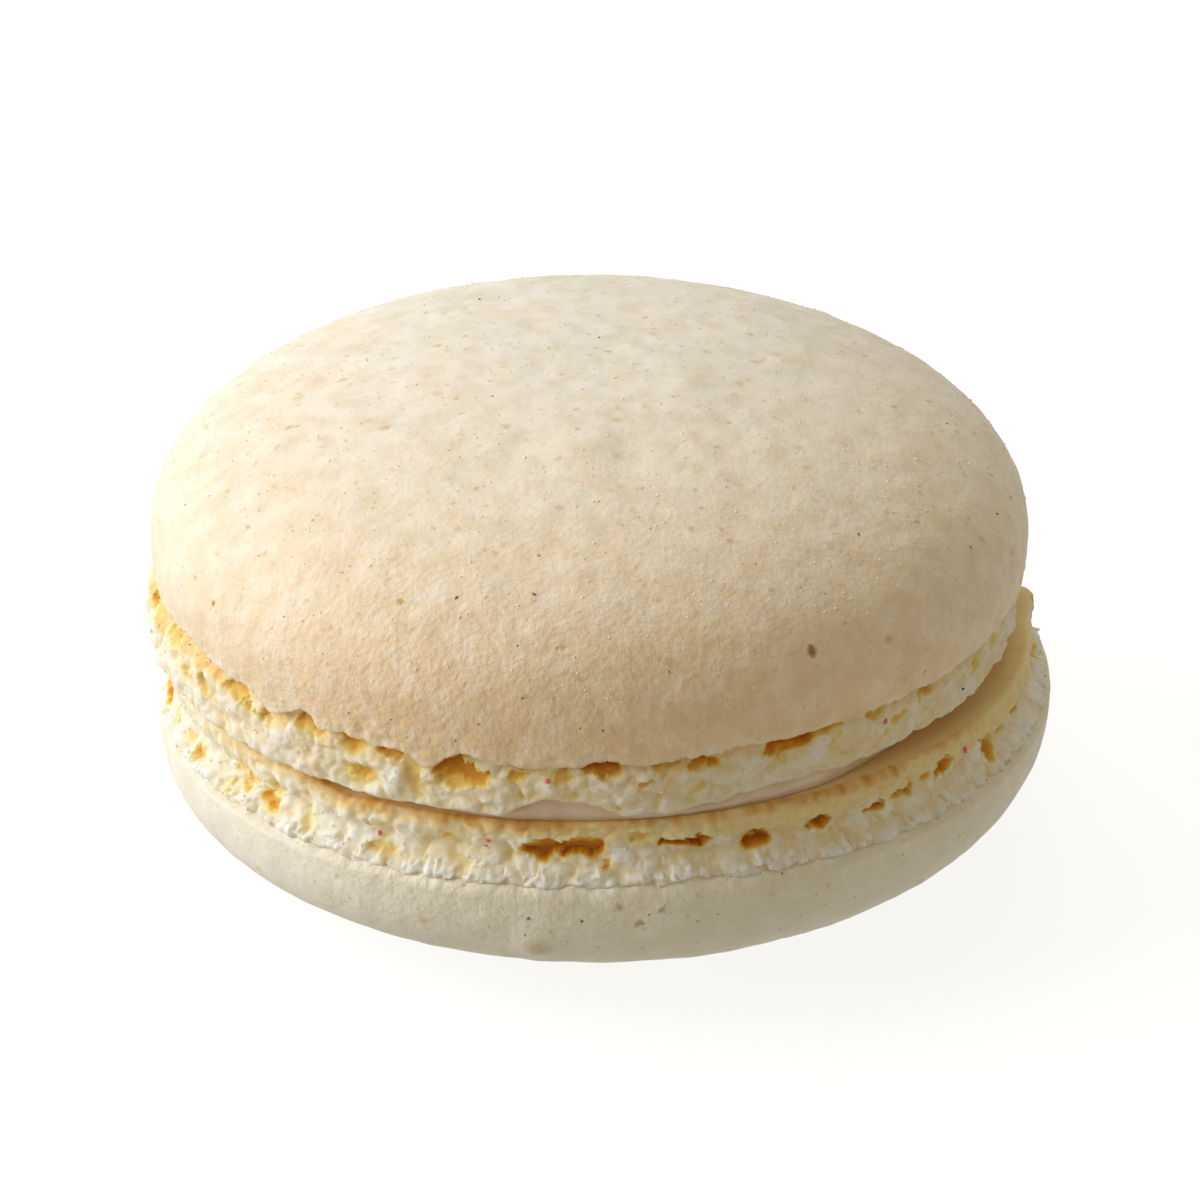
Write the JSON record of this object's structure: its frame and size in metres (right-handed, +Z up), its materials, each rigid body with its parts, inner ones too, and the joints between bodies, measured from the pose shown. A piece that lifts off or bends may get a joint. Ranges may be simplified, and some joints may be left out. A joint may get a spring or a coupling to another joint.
{
  "type": "macaron",
  "caption": "Round sandwich biscuit: two domed almond meringue shells with ruffled, pitted feet around a thin layer of cream filling.",
  "frame": {"origin": "on the surface the macaron rests on, under the middle of its bounding box", "axes": "+Z up through the crown of the upper shell, -Y towards the pictured front, +X to the right of the front"},
  "size_m": [0.0468, 0.0462, 0.0258],
  "materials": {
    "baked_shell": "dry matte almond meringue with fine grain",
    "baked_shell_lower": "dry matte almond meringue with fine grain",
    "vanilla_cream": "smooth satin cream"
  },
  "bodies": {
    "root": {"top_shell": "baked_shell", "filling": "vanilla_cream", "bottom_shell": "baked_shell_lower"}
  },
  "joints": []
}
